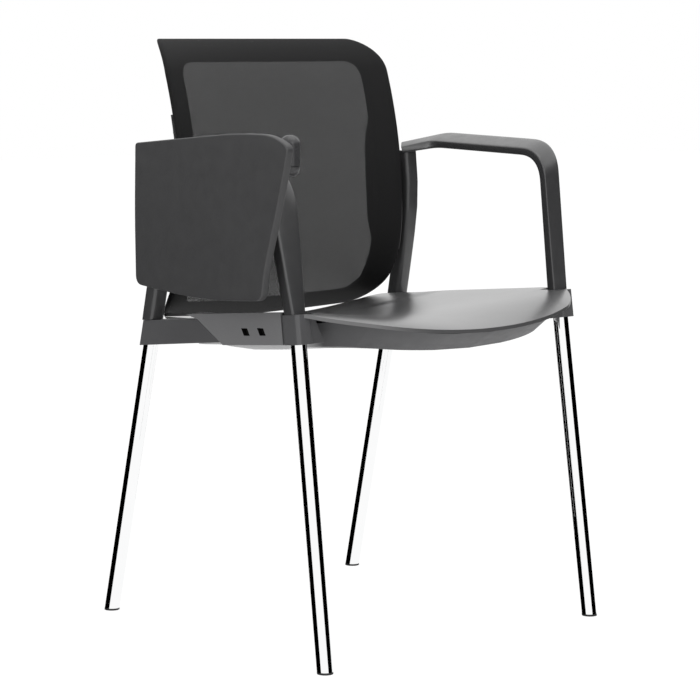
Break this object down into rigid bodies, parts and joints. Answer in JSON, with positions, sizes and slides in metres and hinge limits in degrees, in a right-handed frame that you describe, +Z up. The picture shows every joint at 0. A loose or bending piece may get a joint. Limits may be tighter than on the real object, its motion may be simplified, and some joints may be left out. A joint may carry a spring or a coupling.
{
  "type": "office armchair",
  "caption": "Office armchair with tube legs, moulded seat, curved mesh back and a writing tablet that flips up and swivels in from the right arm.",
  "frame": {"origin": "middle of the outline on the floor, under the seat", "axes": "+X to the sitter's left, -Y to the front, +Z up"},
  "size_m": [0.5906, 0.5642, 0.843],
  "materials": {
    "chromed_steel": "polished chrome plate",
    "steel": "zinc plated",
    "black_plastic": "finely grained satin",
    "dark_grey_plastic": "satin",
    "grey_plastic": "satin",
    "pale_grey_plastic": "satin",
    "tablet_grey": "smooth satin",
    "black_mesh": "open knitted mesh"
  },
  "bodies": {
    "chair": {"leg_front_right": "chromed_steel", "leg_front_left": "chromed_steel", "leg_rear_right": "chromed_steel", "leg_rear_left": "chromed_steel", "glide_front_right": "black_plastic", "glide_front_left": "black_plastic", "glide_rear_right": "black_plastic", "glide_rear_left": "black_plastic", "side_rail_right": "steel", "side_rail_left": "steel", "cross_tube_front": "steel", "cross_tube_rear": "steel", "socket_front_right": "grey_plastic", "socket_front_left": "grey_plastic", "socket_rear_right": "grey_plastic", "socket_rear_left": "grey_plastic", "side_cover_right": "pale_grey_plastic", "side_cover_left": "pale_grey_plastic", "seat_cover": "pale_grey_plastic", "seat_shell": "dark_grey_plastic", "seat_screws": "steel", "spigots": "steel", "arm_right": "black_plastic", "arm_left": "black_plastic", "upright_right": "black_plastic", "upright_left": "black_plastic", "back_frame": "black_plastic", "back_mesh": "black_mesh", "back_screws": "steel", "pivot_pin": "steel"},
    "swivel": {"pivot_washer": "black_plastic", "swivel_barrel": "black_plastic", "pivot_cap": "black_plastic", "hinge_pin": "steel"},
    "tablet": {"hinge_leaf": "steel", "hinge_screws": "steel", "tablet": "tablet_grey"}
  },
  "joints": [
    {"name": "tablet_swivel", "type": "hinge", "parent": "chair", "child": "swivel", "pos_m": [-0.2515, -0.16415, 0.69], "axis": [0, 0, 1], "range_deg": [0, 180]},
    {"name": "tablet_flip", "type": "hinge", "parent": "swivel", "child": "tablet", "pos_m": [-0.27825, -0.15315, 0.706], "axis": [0, 1, 0], "range_deg": [0, 90]}
  ]
}
